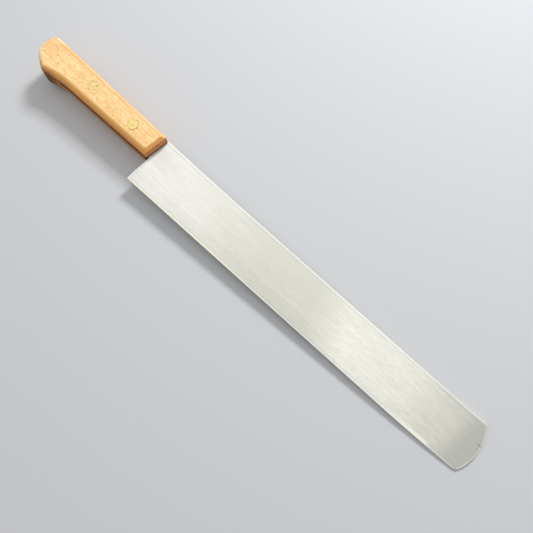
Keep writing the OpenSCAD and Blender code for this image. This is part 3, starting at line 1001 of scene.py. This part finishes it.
def wood_material():
    """Beech with short flecks along the grain, darker on its belly, in the hollow and the cut,
    much of it painted shade.
    """
    s = Surface("oiled_beech")
    height = s.math("ABSOLUTE", s.z)
    front = s.from_front()
    tone = s.noise(stretch=(0.045, 0.16, 0.16), detail=3, offset=(2, 0, 4))
    bands = s.noise(stretch=(0.02, 0.9, 0.9), detail=3, rough=0.6, offset=(6, 3, 1))
    fibres = s.noise(stretch=(0.26, 1.3, 1.3), detail=4, rough=0.65)
    specks = s.noise(stretch=(0.33, 1.7, 1.7), detail=2, offset=(1, 8, 3))
    flecks = s.ramp(specks, low=0.58, high=0.68, end=0.6)
    body = s.mix(s.ramp(tone, low=0.36, high=0.64), WOOD_DARK, WOOD_LIGHT)
    body = s.mix(s.ramp(bands, low=0.38, high=0.68, end=0.4), body, WOOD_BAND)
    body = s.mix(s.ramp(fibres, low=0.46, high=0.68, end=0.6), body, WOOD_FIBRE)
    body = s.mix(s.fade(fibres, low=0.30, high=0.48, top=0.6), body, WOOD_GLEAM)
    body = s.mix(flecks, body, WOOD_FLECK)
    # The sides are painted a deeper orange than the cheeks, most of all towards the belly: patina,
    # and painted shade on the sides turned from the light
    amount = s.ramp(s.y, *SIDES_BELLY, start=0.85, end=0.45)
    body = s.mix(s.times(s.fade(height, *SIDES_FADE), amount), body, WOOD_SIDE_PATINA_AND_SHADE)
    # The belly's bevel is painted orange, darker towards its outer edge as painted shade, with a
    # painted highlight along its inner arris
    bevel = s.times(s.band(height, *BELLY_BEVEL_HEIGHTS, top=0.9), s.fade(s.y, *BELLY_BEVEL_BELOW))
    tones = s.mix(s.ramp(height, *BELLY_BEVEL_TONES), BELLY_BEVEL_SHADED, BELLY_BEVEL_LIT)
    body = s.mix(bevel, body, tones)
    arris = s.times(s.band(height, *BELLY_ARRIS_HEIGHTS),
                    s.fade(s.y, *BELLY_ARRIS_BELOW, top=0.6))
    body = s.mix(arris, body, BELLY_ARRIS_HIGHLIGHT)
    # The round edge of the butt gets a painted highlight
    butt = s.times(s.fade(s.x, *BUTT_ALONG, top=0.9), s.ramp(s.y, *BUTT_ABOVE),
                   s.band(height, *BUTT_HEIGHTS))
    body = s.mix(butt, body, BUTT_HIGHLIGHT)
    # Painted shade: an orange line along the arris of each cheek on the spine side
    arris = s.times(s.band(height, *SPINE_ARRIS_HEIGHTS, top=0.7),
                    s.ramp(s.y, *SPINE_ARRIS_ABOVE))
    body = s.mix(arris, body, SPINE_BEVEL_SHADE)
    # Bands on the belly: darker just above the saw cut, and painted shade below it, on the half
    # that faces the floor
    outside = s.fade(s.y, *BELLY_FACE_OUTSIDE)
    body = s.mix(s.times(s.band(s.z, *BELLY_DARK_ABOVE_Z, top=0.78), outside), body, BELLY_DARK_ABOVE_CUT)
    body = s.mix(s.times(s.fade(s.z, *BELLY_SHADE_BELOW_Z, top=0.35), outside), body, BELLY_SHADE_BELOW_CUT)
    # End grain at the front, with its pores, and the bevels round it
    pores = s.noise(stretch=(1.0, 1.2, 0.8), detail=3, rough=0.7, offset=(0, 2, 0))
    grain = s.mix(s.ramp(pores, low=0.36, high=0.64), END_GRAIN_DARK, END_GRAIN_LIGHT)
    end = s.times(s.ramp(front, *END_GRAIN_RISES), s.fade(height, *END_GRAIN_FADES, top=0.9))
    body = s.mix(end, body, grain)
    rim = s.times(s.ramp(front, *FRONT_RIM_RISES), s.band(height, *FRONT_RIM_HEIGHTS, top=0.75))
    body = s.mix(rim, body, FRONT_RIM)
    # Painted shade, with dirt, in the hollow and on the hook on the belly side
    hollow = s.times(s.fade(s.y, *HOLLOW_BELOW), s.fade(s.x, *HOLLOW_ALONG),
                     s.fade(s.z, *HOLLOW_Z, top=0.85))
    body = s.mix(hollow, body, HOLLOW_SHADE_BROWN)
    # The wood is painted near black inside the saw cut and at its mouth: painted shade
    inside = s.times(s.fade(height, *CUT_HEIGHTS), s.ramp(s.x, *CUT_ALONG))
    mouth = s.times(s.fade(height, *MOUTH_HEIGHTS), s.ramp(front, *MOUTH_ALONG))
    body = s.mix(s.times(s.math("MAXIMUM", inside, mouth), CUT_SHADE_STRENGTH), body, CUT_SHADE)
    s.bump(s.less(fibres, flecks), strength=0.3, distance=0.06 * MM)
    s.shader.inputs["Specular IOR Level"].default_value = WOOD_SPECULAR
    return s.finish(body, s.ramp(fibres, low=0.2, high=0.8, start=0.44, end=0.58))


def brass_material():
    """Brass sanded flush along the grain, with fine scratches and a few stains."""
    s = Surface("sanded_brass")
    lines = s.noise(stretch=(0.5, 5.0, 5.0), detail=3)
    stains = s.noise(stretch=(0.8, 0.8, 0.8), detail=3, offset=(4, 1, 0))
    body = s.mix(s.ramp(lines, low=0.35, high=0.65), BRASS_LOW, BRASS_HIGH)
    body = s.mix(s.ramp(stains, low=0.44, high=0.66, end=0.6), body, BRASS_STAIN)
    # Each head is darker round its edge
    out = s.math("SQRT", s.math("MINIMUM", *[s.square_from(at) for at in RIVETS.values()]))
    body = s.mix(s.ramp(out, *RING_RISES, end=0.2), body, BRASS_RING)
    # The dent of the rear rivet is darker
    dent = [middle + shift for middle, shift in zip(RIVETS["rear"], DENT_AT)]
    near = s.fade(s.square_from(dent), *DENT_DARK_FADES, top=0.55)
    body = s.mix(s.times(near, s.ramp(s.z, *DENT_DARK_HEIGHTS)), body, BRASS_DENT_DARK)
    s.bump(lines, strength=0.25, distance=0.02 * MM)
    return s.finish(body, s.ramp(lines, low=0.3, high=0.7, start=0.38, end=0.5), BRASS_METALLIC)


def dress(piece, node, material):
    """The piece stands for a node of the frame, in the material of its slot."""
    piece.data.materials.clear()
    piece.data.materials.append(material)
    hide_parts(node)
    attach(piece, "root")


steel = steel_material()
wood = wood_material()
brass = brass_material()

dress(make_blade(), "blade", steel)
dress(make_handle(), "handle", wood)
for rivet, middle in RIVETS.items():
    dress(make_tube(rivet, middle), rivet + "_rivet_tube", brass)
    dress(make_pin(rivet, middle), rivet + "_rivet_pin", brass)


# Stage: a plain pale floor, a sky that is brightest overhead, and one soft lamp

def make_floor():
    """A plain pale sheet under the knife."""
    mesh = bmesh.new()
    bmesh.ops.create_grid(mesh, x_segments=1, y_segments=1, size=FLOOR_HALF)
    floor = in_scene("floor", mesh)
    material = bpy.data.materials.new("pale_floor")
    material.use_nodes = True
    shader = material.node_tree.nodes["Principled BSDF"]
    shader.inputs["Base Color"].default_value = FLOOR_PALE
    shader.inputs["Roughness"].default_value = FLOOR_ROUGH
    floor.data.materials.append(material)
    floor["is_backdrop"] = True


def make_sky():
    """Pale light from all round, strongest overhead and a little stronger behind the handle."""
    world = bpy.data.worlds.new("sky")
    bpy.context.scene.world = world
    world.use_nodes = True
    tree = world.node_tree
    parts = tree.nodes.new("ShaderNodeSeparateXYZ")
    feed(tree, parts.inputs[0], tree.nodes.new("ShaderNodeTexCoord").outputs["Generated"])
    x, _, z = parts.outputs
    overhead = math_node(tree, "POWER", math_node(tree, "MAXIMUM", z, 0), SKY_RISE)
    gain = math_node(tree, "MULTIPLY", overhead, SKY_OVERHEAD)
    behind = math_node(tree, "MULTIPLY", x, SKY_BEHIND)
    level = math_node(tree, "SUBTRACT", math_node(tree, "ADD", SKY_LEVEL, gain), behind)
    background = tree.nodes["Background"]
    background.inputs["Color"].default_value = SKY_COLOUR
    feed(tree, background.inputs["Strength"], level)


def make_lamp():
    """A soft square lamp that points at the middle of the knife."""
    data = bpy.data.lights.new("key", "AREA")
    data.shape = "SQUARE"
    data.size = KEY_SIZE
    data.energy = KEY_POWER
    lamp = linked("key", data)
    lamp.location = KEY_AT
    lamp.rotation_mode = "QUATERNION"
    lamp.rotation_quaternion = (-Vector(KEY_AT)).to_track_quat("-Z", "Y")


def make_camera():
    """The photograph's camera, set in the flat knife's axes and laid down with it."""
    data = bpy.data.cameras.new("camera")
    data.lens = CAMERA_LENS
    data.sensor_width = CAMERA_SENSOR
    data.shift_x = -CAMERA_SHIFT
    data.shift_y = CAMERA_SHIFT
    data.clip_start, data.clip_end = CAMERA_CLIP
    camera = linked("camera", data)
    right = Vector((math.cos(CAMERA_TURN), math.sin(CAMERA_TURN), 0))
    level = Vector((-math.sin(CAMERA_TURN), math.cos(CAMERA_TURN), 0))
    forward = math.cos(CAMERA_DOWN) * level - Vector((0, 0, math.sin(CAMERA_DOWN)))
    up = right.cross(forward)
    axes = Matrix((right, up, -forward)).transposed()
    camera.matrix_world = LAID @ Matrix.Translation(CAMERA_AT) @ axes.to_4x4()
    bpy.context.scene.camera = camera


make_floor()
make_sky()
make_lamp()
make_camera()
bpy.context.scene.view_settings.view_transform = "Standard"

visual_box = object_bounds()
[[list(corner) for corner in box] for box in (cad_box, visual_box)]
